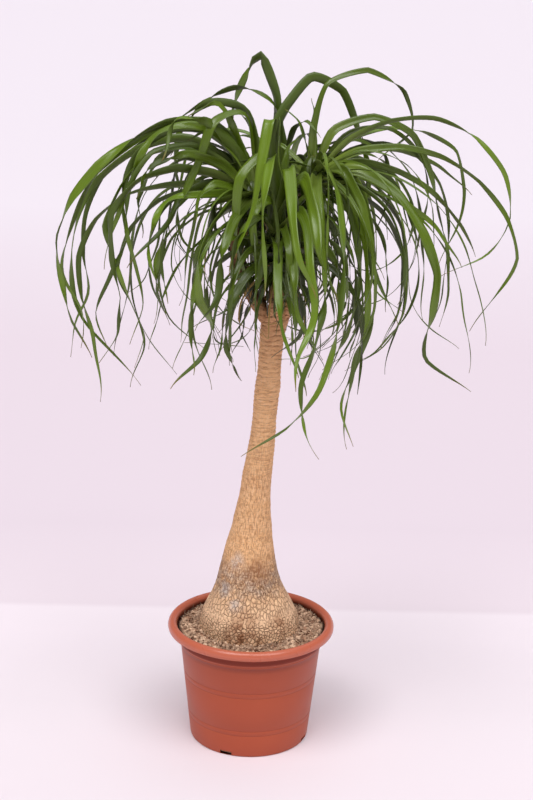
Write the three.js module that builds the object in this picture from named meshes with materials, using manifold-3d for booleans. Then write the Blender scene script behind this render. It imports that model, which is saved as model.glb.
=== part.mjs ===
// A ponytail palm in its nursery container: pot, soil, swollen trunk and leaf crown.
// Millimetres, +Z up. The origin is the middle of the pot's flat base, and -Y is the front.
import * as THREE from 'three';
import { mergeVertices } from 'three/addons/utils/BufferGeometryUtils.js';
import Module from 'manifold-3d';

const wasm = await Module();
wasm.setup();

// ---- driving dimensions ----
const CLEARANCE = 0.3; // between pieces that rest on each other

const POT_SIDES = 40;
const BASE_RADIUS = 114.6; // outside of the wall where it meets the base
const SHOULDER_RADIUS = 135; // outside of the wall under the rim's ledge
const SHOULDER_Z = 190;
const LEDGE = { radius: 138.5, bottom: 193.5, top: 197 }; // stacking ledge under the rim
const RIM = { radius: 160, height: 234.5, half: 8.7, rise: 10.3 }; // curled rim
const NECK_RADIUS = 142.5; // outside of the wall where the curl hangs over it
const WALL = 3;
const FLOOR = 4;
// Inside face of the pot's wall from the floor up: height, radius.
const INSIDE = [
  [FLOOR, BASE_RADIUS - WALL],
  [SHOULDER_Z, SHOULDER_RADIUS - WALL],
  [RIM.height - 2 * RIM.rise, RIM.radius - 2 * RIM.half - 1],
  [RIM.height - RIM.rise, RIM.radius - 2 * RIM.half],
];
const NOTCH = { count: 4, first: -22, width: 24, height: 6, depth: 14 }; // drain holes

// The soil is heaped a little towards the trunk, and lumpy.
const SOIL = { edge: 219, crown: 224, lump: 1.6, rings: 5, sides: 34, inner: 60 };

const TRUNK_SIDES = 20;
const TRUNK_TOP = 846;
const SCAR_STEP = 24; // pitch of the ring scars on the upper trunk
const FLARE = { from: 295, to: 450, step: 15.5 }; // where the bulb runs out into the stem

// Trunk profile from the foot of the bulb up: height, centre x, radius.
const TRUNK = [
  [128, -2, 26], [136, -2, 52], [150, -3, 72], [170, -3, 86], [195, -3, 95], [222, -3, 97],
  [245, -3, 94], [262, -4, 87], [276, -4, 80], [288, -5, 73], [309, -6, 64], [330, -7, 57],
  [370, -7, 48], [410, -4, 40], [450, -1, 34], [490, 3, 29.5], [530, 6, 27.5], [570, 11, 25.5],
  [610, 15, 24], [650, 18, 22.5], [707, 22, 22], [764, 25, 21.5], [805, 29, 23],
  [830, 32, 25], [846, 34, 22],
];

// Short limbs above the fork, each carrying one head of leaves. Points run along the limb.
const LIMBS = {
  left: { radius: [17, 15, 13, 9], path: [[26, 0, 815], [-20, 4, 890], [-40, 8, 960], [-18, 10, 1035]] },
  front: { radius: [17, 14, 12, 9], path: [[33, -4, 815], [33, -28, 870], [34, -46, 925], [33, -50, 968]] },
  right: { radius: [18, 15, 13, 9], path: [[36, 0, 815], [66, 4, 900], [88, 8, 990], [94, 10, 1075]] },
  rear: { radius: [17, 15, 13, 9], path: [[34, 4, 815], [40, 38, 890], [45, 62, 980], [45, 70, 1055]] },
  stub: { radius: [13, 12, 11], path: [[38, -2, 825], [54, -8, 850], [66, -12, 866]] },
};

// Heads of leaves: centre of each rosette and the size of its core of leaf bases.
const HEADS = {
  left: { at: [-10, 10, 1050], core: 27 },
  front: { at: [33, -50, 985], core: 25 },
  right: { at: [95, 10, 1095], core: 27 },
  rear: { at: [45, 70, 1075], core: 27 },
};

// The long leaves that give the crown its outline. Azimuth is in degrees from +X, anticlockwise
// seen from above. Each point is [reach, height, side] from the head's centre.
const LONG_LEAVES = [
  // tops, arching over
  ['rear', 150, 17, 65, [[20, 85], [22, 145], [50, 208], [64, 219], [78, 206], [96, 165], [106, 130],
    [130, 70], [150, 16]]],
  ['rear', 20, 16, -70, [[5, 120], [18, 165], [60, 190], [115, 145], [160, 40], [182, -60], [190, -120]]],
  ['rear', 165, 14, 75, [[20, 125], [60, 155], [90, 160], [150, 135], [215, 90]]],
  ['right', 15, 11, 75, [[0, 105], [20, 155], [70, 180], [145, 160], [190, 95], [178, 40], [145, 5]]],
  // left side
  ['left', 155, 16, 70, [[0, 85], [5, 130], [35, 158], [100, 158], [150, 100], [170, 25], [175, -40]]],
  ['left', -150, 18, -65, [[8, 80], [38, 160], [90, 125], [118, 55], [155, -15], [220, -125]]],
  ['left', -172, 20, 75, [[35, 80], [100, 133], [175, 120], [275, 55], [340, -35], [355, -115], [340, -190],
    [352, -245], [325, -290]]],
  ['left', -160, 17, -70, [[40, 80], [105, 125], [165, 122], [212, 75], [250, -40], [250, -115]]],
  ['left', 175, 15, 75, [[60, 62], [135, 100], [220, 70], [310, -15], [335, -135], [325, -220], [240, -360]]],
  ['left', -177, 12, 75, [[100, 18], [195, 8], [265, -25], [318, -130], [292, -260], [310, -400]]],
  ['left', -165, 12, -75, [[75, 65], [160, 86], [215, 55], [272, -60], [240, -145], [202, -275],
    [225, -320]]],
  ['left', -155, 14, 70, [[105, 50], [200, 45], [270, -15], [268, -120], [252, -205], [315, -300]]],
  ['left', 178, 9, 75, [[115, 10], [205, -40], [248, -140], [212, -225], [178, -325], [190, -365]]],
  ['left', 165, 16, 75, [[50, 60], [100, 90], [170, 70], [215, 0], [240, -95]]],
  ['left', -145, 16, -65, [[65, 55], [120, 80], [180, 75], [230, 55], [265, 0]]],
  ['left', -160, 15, 70, [[70, 25], [120, 12], [160, -30], [175, -90], [165, -180]]],
  ['left', -150, 14, -65, [[65, 5], [125, 8], [185, -8], [210, -65], [205, -155]]],
  ['left', -140, 16, 60, [[80, -8], [145, -22], [200, -60], [220, -130], [190, -220]]],
  ['left', -118, 20, 40, [[50, 0], [105, -12], [175, -60], [205, -130], [140, -230], [225, -315]]],
  ['left', -105, 19, -30, [[50, 0], [105, -25], [175, -45], [205, -100], [225, -150], [275, -195]]],
  // front, falling towards the viewer
  ['front', -115, 21, 35, [[18, 120], [42, 193], [72, 110], [98, 75], [120, 20], [118, -55]]],
  ['front', -75, 15, -30, [[15, 130, -10], [40, 200, -15], [70, 145, -25], [85, 105, -20], [95, 65, -15]]],
  ['front', -65, 22, 30, [[25, 85], [68, 135, -15], [120, 95, -35], [162, 55, -50], [195, 12, -60],
    [230, -75, -50]]],
  ['front', -50, 24, 45, [[28, 80], [70, 122, -15], [112, 100, -28], [160, 48, -55], [190, -8, -70],
    [208, -85, -70]]],
  ['front', -60, 18, 40, [[90, 65, -5], [150, 20, -30], [185, -25, -45], [205, -110, -48], [212, -150, -62],
    [216, -192, -105], [216, -220, -75]]],
  ['front', -90, 16, 15, [[50, 12], [120, -25], [165, -70], [186, -110, 5], [202, -190, 25]]],
  ['front', -135, 18, -55, [[20, 60], [40, 92], [62, 40], [55, -20], [20, -80]]],
  ['front', -72, 16, 25, [[60, 16], [130, -25, -14], [178, -85, -25], [196, -120, -20], [208, -165, 10]]],
  ['front', -150, 20, -65, [[10, 90], [35, 155], [75, 115], [85, 45], [80, -35], [82, -110]]],
  ['front', -110, 20, 25, [[20, 95], [62, 158, 5], [122, 98, 20], [165, 38, 30], [185, -10, 40],
    [202, -80, 36]]],
  // right side and front right
  ['right', -45, 16, 55, [[30, 22], [80, 5], [125, -60], [148, -140], [185, -235]]],
  ['right', -65, 16, -40, [[55, 25, -20], [130, -12, -25], [200, -80, -45], [250, -190, -70],
    [275, -292, -105], [292, -365, -155], [300, -412, -235]]],
  ['right', -30, 15, 65, [[35, 12], [65, -35], [90, -105], [98, -185], [88, -260], [50, -370]]],
  ['right', -30, 14, -60, [[60, 8], [98, -38], [122, -120], [128, -250], [108, -315], [68, -440],
    [95, -485]]],
  ['right', -35, 13, 65, [[50, -10], [95, -60], [118, -150], [122, -260], [97, -350], [95, -400],
    [130, -490]]],
  ['right', -75, 14, 25, [[45, 0, -10], [90, -35, -20], [165, -110, -30], [220, -230, -45], [245, -325, -85],
    [250, -362, -88], [270, -458, -25]]],
  ['right', 10, 12, 75, [[45, 85], [125, 95], [192, 55], [230, -60], [262, -190], [235, -305]]],
  ['right', -10, 10, -75, [[25, 25], [85, 72], [195, 105], [315, 45], [352, -50], [312, -155], [260, -185]]],
  ['right', 25, 9, 70, [[30, 35], [90, 62], [175, 75], [298, 30], [320, -65], [300, -205]]],
  ['right', -15, 11, 75, [[45, 25], [140, 52], [262, 25], [350, -65], [370, -125], [315, -275]]],
  ['right', 20, 10, -70, [[70, 32], [170, 35], [278, -15], [305, -60]]],
  ['right', -25, 19, 70, [[35, 10], [85, 8], [152, -20], [232, -130], [245, -200], [215, -315], [280, -355]]],
  ['right', 0, 12, 75, [[60, 5], [145, -38], [232, -105], [255, -175]]],
  ['right', 10, 14, -75, [[55, 22], [105, 15], [165, -45], [195, -130]]],
  ['right', -5, 12, 75, [[55, 20], [172, -2], [260, -78], [285, -155]]],
];

// The rest of the crown, set round each head by the golden angle. Older leaves sit lower, and
// the last row clothes the fork: drop lowers its roots, and launch caps how steeply it rises.
const GOLDEN_ANGLE = 137.508;
const FILL = [
  { head: 'left', count: 9, from: 50, spread: 100, length: [430, 600] },
  { head: 'rear', count: 12, from: 10, spread: 160, length: [420, 600] },
  { head: 'right', count: 9, from: 20, spread: 100, length: [430, 620] },
  { head: 'left', count: 9, from: 0, spread: 360, length: [280, 420] },
  { head: 'front', count: 12, from: 0, spread: 360, length: [200, 300] },
  { head: 'right', count: 9, from: 0, spread: 360, length: [280, 420] },
  { head: 'rear', count: 8, from: 0, spread: 360, length: [280, 420] },
  { head: 'front', count: 7, from: -175, spread: 170, length: [260, 340] },
  { head: 'front', count: 15, from: 0, spread: 360, length: [110, 180], drop: 62, launch: 30 },
];
const HANG = -84; // degrees: the slope of a blade's hanging end
const BEND_END = 0.6; // share of a blade's length over which it bends down
const ROOT_DEPTH = 0.5; // how far out from the core's axis a blade is rooted, as a share

const BLADE_PITCH = 76; // longest straight stretch of a blade
const BLADE_KEEL = 0.13; // depth of a blade's channel as a share of its width
const BLADE_THICK = 1.3;
const TIP_WIDTH = 1.6;

// ---- helpers ----
const radians = THREE.MathUtils.degToRad;
const vector = (list) => new THREE.Vector3(...list);

let seed = 4711;
function random(low, high) {
  seed = (seed * 1664525 + 1013904223) % 4294967296;
  return low + ((high - low) * seed) / 4294967296;
}

function toSolid(geometry) {
  const bare = geometry.clone();
  bare.deleteAttribute('normal');
  bare.deleteAttribute('uv');
  const merged = mergeVertices(bare, 1e-3);
  return new wasm.Manifold(new wasm.Mesh({
    numProp: 3,
    vertProperties: new Float32Array(merged.attributes.position.array),
    triVerts: new Uint32Array(merged.index.array),
  }));
}

function union(solids) {
  return wasm.Manifold.union(solids);
}

function largest(solid) {
  return solid.decompose().reduce((best, piece) => (piece.volume() > best.volume() ? piece : best));
}

function toMesh(name, solid, material) {
  const { vertProperties, triVerts, numProp } = solid.getMesh();
  if (numProp !== 3) throw new Error(`${name} carries extra vertex values`);
  const geometry = new THREE.BufferGeometry();
  geometry.setAttribute('position', new THREE.BufferAttribute(new Float32Array(vertProperties), 3));
  geometry.setIndex(new THREE.BufferAttribute(new Uint32Array(triVerts), 1));
  geometry.computeVertexNormals();
  const mesh = new THREE.Mesh(geometry, material);
  mesh.name = name;
  return mesh;
}

// Skins a stack of rings, each with the same number of points, and closes both ends.
function skin(rings) {
  const sides = rings[0].length;
  const positions = rings.flat().flatMap((point) => [point.x, point.y, point.z]);
  const index = [];
  for (let ring = 0; ring + 1 < rings.length; ring += 1) {
    for (let side = 0; side < sides; side += 1) {
      const a = ring * sides + side;
      const b = ring * sides + ((side + 1) % sides);
      index.push(a, b, a + sides, b, b + sides, a + sides);
    }
  }
  const last = (rings.length - 1) * sides;
  for (let side = 1; side + 1 < sides; side += 1) {
    index.push(0, side + 1, side);
    index.push(last, last + side, last + side + 1);
  }
  const geometry = new THREE.BufferGeometry();
  geometry.setAttribute('position', new THREE.BufferAttribute(new Float32Array(positions), 3));
  geometry.setIndex(index);
  return geometry;
}

function circle(centre, radiusAt, sides) {
  return Array.from({ length: sides }, (_, side) => {
    const angle = (2 * Math.PI * side) / sides;
    const radius = radiusAt(angle);
    return new THREE.Vector3(
      centre.x + radius * Math.cos(angle),
      centre.y + radius * Math.sin(angle),
      centre.z,
    );
  });
}

// ---- pot ----
// Points round the rim's curl, from one angle to another, in degrees above the horizontal.
function curl(from, to, steps, inset = 0) {
  return Array.from({ length: steps + 1 }, (_, step) => {
    const angle = radians(from + ((to - from) * step) / steps);
    return [
      RIM.radius - RIM.half + (RIM.half - inset) * Math.cos(angle),
      RIM.height - RIM.rise + (RIM.rise - inset) * Math.sin(angle),
    ];
  });
}

function potSolid() {
  const profile = [
    [0, 0],
    [BASE_RADIUS - 3, 0],
    [BASE_RADIUS, 3],
    [SHOULDER_RADIUS, SHOULDER_Z],
    [LEDGE.radius, LEDGE.bottom],
    [LEDGE.radius, LEDGE.top],
    [NECK_RADIUS - 1.5, LEDGE.top + 3],
    [NECK_RADIUS, RIM.height - RIM.rise],
    ...curl(180, -30, 6, WALL).slice(1), // hollow underside of the curl
    ...curl(-30, 180, 8),
    ...INSIDE.slice(0, 3).reverse().map(([z, radius]) => [radius, z]),
    [0, FLOOR],
  ].map(([radius, z]) => new THREE.Vector2(radius, z));
  let pot = toSolid(new THREE.LatheGeometry(profile, POT_SIDES).rotateX(Math.PI / 2));
  for (let hole = 0; hole < NOTCH.count; hole += 1) {
    const angle = radians(NOTCH.first - 90 + (360 * hole) / NOTCH.count);
    const cut = new THREE.BoxGeometry(NOTCH.depth, NOTCH.width, 2 * NOTCH.height);
    cut.translate(BASE_RADIUS, 0, 0).rotateZ(angle);
    pot = pot.subtract(toSolid(cut));
  }
  return pot;
}

// ---- trunk ----
// Corky plates on the bulb and ring scars on the stem, as a share of the radius.
function bark(z, angle) {
  const plates = 0.011 * Math.sin(9 * angle + 0.09 * z) * Math.sin(0.16 * z + 2 * Math.sin(3 * angle))
    + 0.012 * Math.sin(2 * angle + 0.02 * z) + 0.008 * Math.sin(5 * angle - 0.03 * z);
  const scars = (Math.round((z - FLARE.to) / (SCAR_STEP / 2)) % 2 ? 0.022 : -0.022);
  const stem = THREE.MathUtils.smoothstep(z, 400, 520);
  return 1 + plates * (1 - 0.6 * stem) + scars * stem;
}

// Ring heights: as listed on the bulb, even on the flare, and one for each scar's crest and crack.
function trunkHeights() {
  const heights = TRUNK.map(([z]) => z).filter((z) => z < FLARE.from);
  for (let z = FLARE.from; z < FLARE.to; z += FLARE.step) heights.push(z);
  for (let z = FLARE.to; z < TRUNK_TOP; z += SCAR_STEP / 2) heights.push(z);
  return [...heights, TRUNK_TOP];
}

function trunkAt(z) {
  const above = Math.max(1, TRUNK.findIndex((level) => level[0] >= z));
  const [low, high] = [TRUNK[above - 1], TRUNK[above]];
  const share = (z - low[0]) / (high[0] - low[0]);
  return { x: low[1] + (high[1] - low[1]) * share, radius: low[2] + (high[2] - low[2]) * share };
}

function limbSolid({ path, radius }, grow) {
  const curve = new THREE.CatmullRomCurve3(path.map(vector));
  const steps = 2 * (path.length - 1);
  const rings = [];
  for (let step = 0; step <= steps; step += 1) {
    const along = (step / steps) * (radius.length - 1);
    const slot = Math.min(Math.floor(along), radius.length - 2);
    const size = THREE.MathUtils.lerp(radius[slot], radius[slot + 1], along - slot) + grow;
    const knobbed = size * (step % 2 ? 1.05 : 0.97);
    rings.push(circle(curve.getPoint(step / steps), () => knobbed, 9));
  }
  return toSolid(skin(rings));
}

// With grow above 0 it is the trunk's own shape made that much fatter, to cut its clearance.
function trunkSolid(grow = 0) {
  const stem = toSolid(skin(trunkHeights().map((z) => {
    const { x, radius } = trunkAt(z);
    return circle(new THREE.Vector3(x, 0, z), (angle) => radius * bark(z, angle) + grow, TRUNK_SIDES);
  })));
  const limbs = Object.values(LIMBS).map((limb) => limbSolid(limb, grow));
  return union([stem, stem.translate([0, 0, -grow]), ...limbs]);
}

// ---- soil ----
function soilSolid() {
  const facet = Math.cos(Math.PI / POT_SIDES); // keeps the soil inside the pot's flats
  const level = (z, radius) => circle(new THREE.Vector3(0, 0, z), () => radius * facet, SOIL.sides);
  const [floor, shoulder, neck] = INSIDE.map(([z, radius]) => [z, radius - 2 * CLEARANCE]);
  const rings = [level(floor[0] + CLEARANCE, floor[1]), level(...shoulder), level(...neck)];
  for (let ring = 0; ring < SOIL.rings; ring += 1) {
    const share = ring / (SOIL.rings - 1);
    const radius = THREE.MathUtils.lerp(neck[1], SOIL.inner, share);
    const height = THREE.MathUtils.lerp(SOIL.edge, SOIL.crown, share);
    rings.push(level(height, radius).map((point, side) => {
      const lump = Math.sin(side * 2.4 + ring * 1.9) * Math.cos(side * 0.9 - ring);
      return point.setZ(height + SOIL.lump * lump);
    }));
  }
  return toSolid(skin(rings)).subtract(trunkSolid(CLEARANCE));
}

// ---- foliage ----
// A blade is a shallow keeled strap, widest near its root and drawn out to a fine tip.
function bladeSolid(route, azimuth, width, twist) {
  const curve = new THREE.CatmullRomCurve3(route);
  const segments = Math.max(4, Math.round(curve.getLength() / BLADE_PITCH));
  const across = new THREE.Vector3(-Math.sin(azimuth), Math.cos(azimuth), 0);
  const rings = [];
  for (let step = 0; step <= segments; step += 1) {
    const share = step / segments;
    const centre = curve.getPointAt(share);
    const along = curve.getTangentAt(share);
    const side = across.clone().addScaledVector(along, -across.dot(along)).normalize();
    side.applyAxisAngle(along, radians(twist) * THREE.MathUtils.smoothstep(share, 0, 0.5));
    const up = new THREE.Vector3().crossVectors(along, side);
    const half = Math.max(TIP_WIDTH, width * (1 - share ** 2.5) ** 0.8) / 2;
    const keel = BLADE_THICK / 2 + 2 * half * BLADE_KEEL;
    rings.push([
      centre.clone().addScaledVector(side, -half).addScaledVector(up, BLADE_THICK / 2),
      centre.clone().addScaledVector(up, -keel),
      centre.clone().addScaledVector(side, half).addScaledVector(up, BLADE_THICK / 2),
    ]);
  }
  const solid = toSolid(skin(rings));
  if (solid.volume() < 0) throw new Error('a blade is inside out');
  return solid;
}

function longLeaf([head, degrees, width, twist, points]) {
  const azimuth = radians(degrees);
  const { at, core } = HEADS[head];
  const [firstReach, firstHeight] = points[0];
  const lean = Math.min(1, Math.abs(firstReach) / Math.max(Math.abs(firstHeight), 1));
  const rooted = [[core * ROOT_DEPTH * lean, 0], ...points];
  const route = rooted.map(([reach, height, side = 0]) => vector(at).add(new THREE.Vector3(
    reach * Math.cos(azimuth) - side * Math.sin(azimuth),
    reach * Math.sin(azimuth) + side * Math.cos(azimuth),
    height,
  )));
  return bladeSolid(route, azimuth, width, twist);
}

function fillLeaves({ head, count, from, spread, length, drop = 0, launch: steepest = 82 }) {
  const { at, core } = HEADS[head];
  return Array.from({ length: count }, (_, leaf) => {
    const age = (leaf + 0.5) / count;
    const degrees = from + ((leaf * GOLDEN_ANGLE + random(-12, 12) + 360) % 360) * (spread / 360);
    const azimuth = radians(degrees);
    const launch = steepest - 80 * age + random(-8, 8);
    const total = THREE.MathUtils.lerp(length[0], length[1], Math.sin(Math.PI * age)) * random(0.92, 1.08);
    const drift = radians(random(-35, 35));
    const curl = random(-40, 45);
    const points = [vector(at).add(new THREE.Vector3(
      core * ROOT_DEPTH * Math.cos(azimuth),
      core * ROOT_DEPTH * Math.sin(azimuth),
      drop ? -drop * (0.85 + 0.35 * age) : core * (0.4 - 2.2 * age),
    ))];
    const steps = 7;
    for (let step = 0; step < steps; step += 1) {
      const middle = (step + 0.5) / steps;
      const flick = curl * THREE.MathUtils.smoothstep(middle, BEND_END, 1);
      const slope = radians(launch + (HANG - launch) * Math.min(1, middle / BEND_END) - flick);
      const heading = azimuth + drift * middle;
      points.push(points[step].clone().add(new THREE.Vector3(
        Math.cos(slope) * Math.cos(heading),
        Math.cos(slope) * Math.sin(heading),
        Math.sin(slope),
      ).multiplyScalar(total / steps)));
    }
    return bladeSolid(points, azimuth, random(14, 20), random(-75, 75));
  });
}

function coreSolid({ at, core }) {
  const profile = [
    [0, -3.6], [0.6, -3.5], [0.85, -1.6], [1, -0.2], [0.8, 0.6], [0.4, 1.2], [0, 1.4],
  ].map(([x, y]) => new THREE.Vector2(x * core, y * core));
  return toSolid(new THREE.LatheGeometry(profile, 9).rotateX(Math.PI / 2).translate(...at));
}

function foliageSolid() {
  const blades = [...LONG_LEAVES.map(longLeaf), ...FILL.flatMap(fillLeaves)];
  const crown = union([...Object.values(HEADS).map(coreSolid), ...blades]);
  return largest(crown.subtract(trunkSolid(CLEARANCE)));
}

// ---- the part ----
const paint = (color, roughness) => new THREE.MeshStandardMaterial({ color, roughness, metalness: 0 });

const part = new THREE.Group();
part.name = 'ponytail_palm';
part.add(toMesh('pot', potSolid(), paint(0xa85139, 0.45)));
part.add(toMesh('soil', soilSolid(), paint(0x8e654f, 0.95)));
part.add(toMesh('trunk', trunkSolid(), paint(0xb78258, 0.9)));
part.add(toMesh('foliage', foliageSolid(), paint(0x4f7034, 0.5)));

export default part;
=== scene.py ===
# %% [markdown]
# # A ponytail palm in its nursery container
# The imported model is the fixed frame. Everything below is shaped round it, in metres, with the pot
# standing on z = 0 and its front towards -Y. The plant only stands in its pot, so every piece rides
# on the one body, "root".

# %% Load the frame
import math

import bpy
import numpy as np
from mathutils import Matrix, Vector, noise


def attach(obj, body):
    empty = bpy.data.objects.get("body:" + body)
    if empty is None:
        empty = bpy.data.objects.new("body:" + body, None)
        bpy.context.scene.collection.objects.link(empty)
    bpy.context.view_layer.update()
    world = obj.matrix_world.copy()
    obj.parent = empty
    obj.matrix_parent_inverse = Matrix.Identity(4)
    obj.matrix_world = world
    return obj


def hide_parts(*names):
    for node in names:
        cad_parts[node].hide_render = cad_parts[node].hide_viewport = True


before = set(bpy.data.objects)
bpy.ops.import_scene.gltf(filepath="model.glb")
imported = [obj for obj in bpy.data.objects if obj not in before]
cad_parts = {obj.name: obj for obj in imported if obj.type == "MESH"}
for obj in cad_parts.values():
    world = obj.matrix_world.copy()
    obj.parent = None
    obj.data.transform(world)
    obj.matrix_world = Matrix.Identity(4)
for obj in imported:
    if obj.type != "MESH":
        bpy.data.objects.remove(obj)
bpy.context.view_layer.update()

MM = 0.001
print("nodes in the frame:", sorted(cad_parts))

# %% [markdown]
# ## The camera
# The plant is looked at from a little above its crown's middle, so the pot's rim opens into an
# ellipse. The view leans by just over a degree, which is rolled into the camera and not into the
# plant: the pot stands level.

# %% Camera
CAMERA_PLACE = (0, -2.7, 1.4213)
PITCH_DOWN = math.radians(15.48)
YAW = -0.0074
ROLL = math.radians(1.34)
LENS = 68
SENSOR_WIDTH = 36
camera_data = bpy.data.cameras.new("view_camera")
camera_data.lens = LENS
camera_data.sensor_width = SENSOR_WIDTH
camera = bpy.data.objects.new("view_camera", camera_data)
camera.matrix_world = (
    Matrix.Translation(CAMERA_PLACE)
    @ Matrix.Rotation(YAW, 4, "Z")
    @ Matrix.Rotation(math.pi / 2 - PITCH_DOWN, 4, "X")
    @ Matrix.Rotation(ROLL, 4, "Z")
)
bpy.context.collection.objects.link(camera)
bpy.context.scene.camera = camera
bpy.context.scene.view_settings.view_transform = "Standard"
print("camera at", CAMERA_PLACE)

# %% [markdown]
# ## A short way to write a finish
# A finish is a graph of nodes, which is hard to read as a list of links. Here a value on its way
# through the graph is wrapped, so that `1 - crack * 0.5` adds its own Math nodes, and every other
# node comes from one function that takes the node's type, its settings and its inputs. Most
# surfaces are a base colour with others laid over it, each where its own share says.


# %% Wires and finishes
class Wire:
    """A value on its way through a material's nodes."""

    def __init__(self, tree, socket):
        self.tree = tree
        self.socket = socket

    def math(self, operation, first, second=0.0):
        return add_node(
            self.tree, "ShaderNodeMath", {"operation": operation}, {0: first, 1: second}
        )

    def __add__(self, other):
        return self.math("ADD", self, other)

    def __sub__(self, other):
        return self.math("SUBTRACT", self, other)

    def __rsub__(self, other):
        return self.math("SUBTRACT", other, self)

    def __mul__(self, other):
        return self.math("MULTIPLY", self, other)

    __radd__ = __add__
    __rmul__ = __mul__

    def absolute(self):
        return self.math("ABSOLUTE", self)

    def ramp(self, low, high):
        """0 below low, 1 above high, and even in between."""
        inputs = {"Value": self, "From Min": low, "From Max": high}
        return add_node(self.tree, "ShaderNodeMapRange", {"clamp": True}, inputs)


def connect(tree, socket, value):
    """Links a wire to a socket, or sets the socket's own value."""
    if isinstance(value, Wire):
        tree.links.new(value.socket, socket)
    else:
        socket.default_value = value


def add_node(tree, kind, settings=None, inputs=None, output=0):
    """Adds a node and hands back one of its outputs."""
    made = tree.nodes.new(kind)
    for key, value in (settings or {}).items():
        setattr(made, key, value)
    for key, value in (inputs or {}).items():
        connect(tree, made.inputs[key], value)
    return Wire(tree, made.outputs[output])


class Finish:
    """A procedural material round one Principled shader."""

    def __init__(self, name, specular=0.5, roughness=0.5):
        self.material = bpy.data.materials.new(name)
        self.material.use_nodes = True
        self.tree = self.material.node_tree
        self.shader = self.tree.nodes["Principled BSDF"]
        self.set("Specular IOR Level", specular)
        self.set("Roughness", roughness)

    def node(self, kind, settings=None, inputs=None, output=0):
        return add_node(self.tree, kind, settings, inputs, output)

    def set(self, name, value):
        connect(self.tree, self.shader.inputs[name], value)

    def place(self):
        return self.node("ShaderNodeTexCoord", output="Object")

    def part(self, place, axis):
        """One coordinate of a place: 0 for x, 1 for y and 2 for z."""
        return self.node("ShaderNodeSeparateXYZ", inputs={"Vector": place}, output=axis)

    def stretched(self, scale, place=None):
        place = place or self.place()
        return self.node("ShaderNodeMapping", inputs={"Vector": place, "Scale": scale})

    def attribute(self, name):
        return self.node("ShaderNodeAttribute", {"attribute_name": name}, output="Fac")

    def noise(self, place, scale, detail=3.0, rough=0.55):
        inputs = {"Vector": place, "Scale": scale, "Detail": detail, "Roughness": rough}
        return self.node("ShaderNodeTexNoise", inputs=inputs)

    def warped(self, place, scale, reach):
        """The same place, pushed about by noise as far as reach."""
        push = self.node("ShaderNodeTexNoise", inputs={"Vector": place, "Scale": scale}, output=1)
        push = self.node("ShaderNodeVectorMath", {"operation": "SCALE"}, {0: push, "Scale": reach})
        return self.node("ShaderNodeVectorMath", {"operation": "ADD"}, {0: place, 1: push})

    def cells(self, place, scale):
        """How far a place is from the edge of its cell, and a number of its own for each cell."""
        inputs = {"Vector": place, "Scale": scale}
        edge = self.node("ShaderNodeTexVoronoi", {"feature": "DISTANCE_TO_EDGE"}, inputs)
        return edge, self.node("ShaderNodeTexVoronoi", inputs=inputs, output=1)

    def near(self, place, centre, inner, outer):
        """1 within inner of a spot, and 0 past outer."""
        settings = {"operation": "DISTANCE"}
        gap = self.node("ShaderNodeVectorMath", settings, {0: place, 1: centre}, output=1)
        return gap.ramp(outer, inner)

    def near_axis(self, inner, outer):
        """1 within inner of the pot's axis, and 0 past outer."""
        return self.near(self.stretched((1, 1, 0)), (0, 0, 0), inner, outer)

    def mix(self, share, first, second):
        inputs = {0: share, 6: first, 7: second}
        return self.node("ShaderNodeMix", {"data_type": "RGBA"}, inputs, output=2)

    def layered(self, colour, layers):
        """A colour with others laid over it in turn, each with its share and its colour."""
        for share, over in layers:
            colour = self.mix(share, colour, rgb(*over))
        return colour

    def bump(self, height, depth, strength=1.0):
        inputs = {"Height": height, "Distance": depth, "Strength": strength}
        self.set("Normal", self.node("ShaderNodeBump", inputs=inputs))


def rgb(red, green, blue):
    """A screen colour from 0 to 255 as the linear colour that a socket takes."""
    share = [channel / 255 for channel in (red, green, blue)]
    linear = [s / 12.92 if s <= 0.04045 else ((s + 0.055) / 1.055) ** 2.4 for s in share]
    return (*linear, 1.0)


# %% [markdown]
# ## Floor and light
# A plain pale floor runs past the edge of the view. Behind the pot it is painted lighter, a
# painted light that evens out the crown's shadow there. Where the backdrop would begin it is
# painted in the duller tone of an upright backdrop, a painted shade that darkens further back as
# the crown's shadow fades, and far off it turns a little paler again. The light is soft: two broad
# lamps high on the left and right, a weaker one from behind, and a glow from all round, strongest
# near the horizon. Broad lamps leave the soft sheen that runs along each leaf, and only a faint
# shadow by the pot.

# %% Floor and light
FLOOR_SIZE = 900
# Metres behind the plant, from where each change of tone starts to where it ends.
PAINTED_LIGHT_FADE = (0.1, 0.45)
BACKDROP_EDGE = (0.58, 0.605)
PAINTED_SHADE_FADE = (0.65, 1.15)
FAR_FADE = (3.2, 7)
bpy.ops.object.select_all(action="DESELECT")
bpy.ops.mesh.primitive_plane_add(size=FLOOR_SIZE)
floor = bpy.context.object
floor.name = "studio_floor"
pale = Finish("studio_floor", 0.1, 0.9)
back = pale.part(pale.place(), 1)
# painted light: behind the pot the floor is painted lighter, to even out the crown's shadow
floor_painted_light = pale.mix(back.ramp(*PAINTED_LIGHT_FADE), rgb(237, 226, 233), rgb(246, 234, 242))
# painted shade: the backdrop zone is a duller tone, darker further back as the crown's shadow fades
backdrop_painted_shade = pale.mix(back.ramp(*PAINTED_SHADE_FADE), rgb(237, 223, 232), rgb(225, 211, 221))
backdrop_painted_shade = pale.mix(back.ramp(*FAR_FADE), backdrop_painted_shade, rgb(233, 224, 233))
pale.set("Base Color", pale.mix(back.ramp(*BACKDROP_EDGE), floor_painted_light, backdrop_painted_shade))
floor.data.materials.append(pale.material)

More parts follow.
